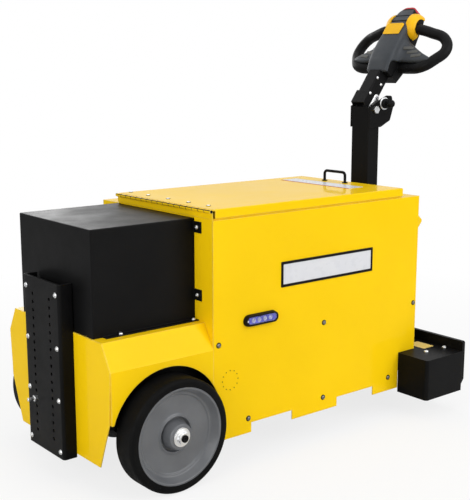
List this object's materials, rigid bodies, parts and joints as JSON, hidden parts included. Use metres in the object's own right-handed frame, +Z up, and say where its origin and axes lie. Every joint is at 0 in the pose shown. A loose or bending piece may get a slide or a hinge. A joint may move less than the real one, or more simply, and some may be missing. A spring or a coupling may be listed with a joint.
{
  "type": "walk-behind electric tow tractor",
  "caption": "Walk-behind electric tow tractor with a sheet-steel battery body, fender-covered drive wheels, a drilled hitch channel and a tilting tiller with a loop grip.",
  "frame": {"origin": "on the floor below the middle of the overall box", "axes": "+X to the tiller end, where the operator walks, +Y to the left, +Z up"},
  "size_m": [1.4721, 0.776, 1.2776],
  "materials": {
    "yellow_paint": "glossy",
    "black_paint": "satin",
    "dark_casting": "satin",
    "grey_casting": "satin",
    "tyre": "matte",
    "zinc": "satin",
    "black_plastic": "matte",
    "clear_lens": "glossy",
    "grey_plastic": "matte",
    "red_plastic": "glossy",
    "yellow_plastic": "glossy"
  },
  "bodies": {
    "chassis": {"chassis_tray": "black_paint", "axle_frame": "black_paint", "transaxle": "dark_casting", "battery": "black_plastic", "front_wall": "yellow_paint", "rear_wall": "yellow_paint", "top_deck": "yellow_paint", "side_panel_right": "yellow_paint", "side_panel_left": "yellow_paint", "fender": "yellow_paint", "front_panel": "yellow_paint", "equipment_box": "black_paint", "hitch_channel": "black_paint", "hitch_stud": "zinc", "rear_deck": "black_paint", "bumper_plate": "black_paint", "lamp_bezels": "black_plastic", "lamp_leds": "clear_lens", "hinge_fixed": "yellow_paint", "caster_plate": "black_paint", "tiller_column": "black_paint", "pivot_bolt": "zinc", "index_knob": "black_plastic"},
    "lid": {"lid": "yellow_paint", "hinge_lid": "yellow_paint", "lid_handle": "black_paint"},
    "wheel_right": {"tyre_right": "tyre", "hub_right": "grey_casting", "axle_shaft_right": "zinc"},
    "wheel_left": {"tyre_left": "tyre", "hub_left": "grey_casting", "axle_shaft_left": "zinc"},
    "caster_fork": {"caster_fork": "dark_casting"},
    "caster_wheel": {"caster_hub": "grey_casting", "caster_tyre": "tyre"},
    "tiller": {"tiller_arm": "black_paint", "arm_bracket": "black_paint", "index_tab": "zinc", "head_lower": "black_plastic", "head_upper": "grey_plastic", "grip_right": "black_plastic", "grip_left": "black_plastic", "tip_button": "red_plastic", "horn_button": "yellow_plastic", "thumb_paddles": "yellow_plastic"}
  },
  "joints": [
    {"name": "wheel_right_spin", "type": "hinge", "parent": "chassis", "child": "wheel_right", "pos_m": [-0.49705, -0.286, 0.1525], "axis": [0, 1, 0], "continuous": true},
    {"name": "wheel_left_spin", "type": "hinge", "parent": "chassis", "child": "wheel_left", "pos_m": [-0.49705, 0.286, 0.1525], "axis": [0, 1, 0], "continuous": true},
    {"name": "caster_swivel", "type": "hinge", "parent": "chassis", "child": "caster_fork", "pos_m": [0.41895, 0, 0.18], "axis": [0, 0, 1], "continuous": true},
    {"name": "caster_spin", "type": "hinge", "parent": "caster_fork", "child": "caster_wheel", "pos_m": [0.37695, 0, 0.075], "axis": [0, 1, 0], "continuous": true},
    {"name": "lid_hinge", "type": "hinge", "parent": "chassis", "child": "lid", "pos_m": [-0.35605, 0, 0.712], "axis": [0, -1, 0], "range_deg": [0, 100]},
    {"name": "tiller_tilt", "type": "hinge", "parent": "chassis", "child": "tiller", "pos_m": [0.49345, 0, 0.944], "axis": [0, 1, 0], "range_deg": [0, 54]}
  ]
}
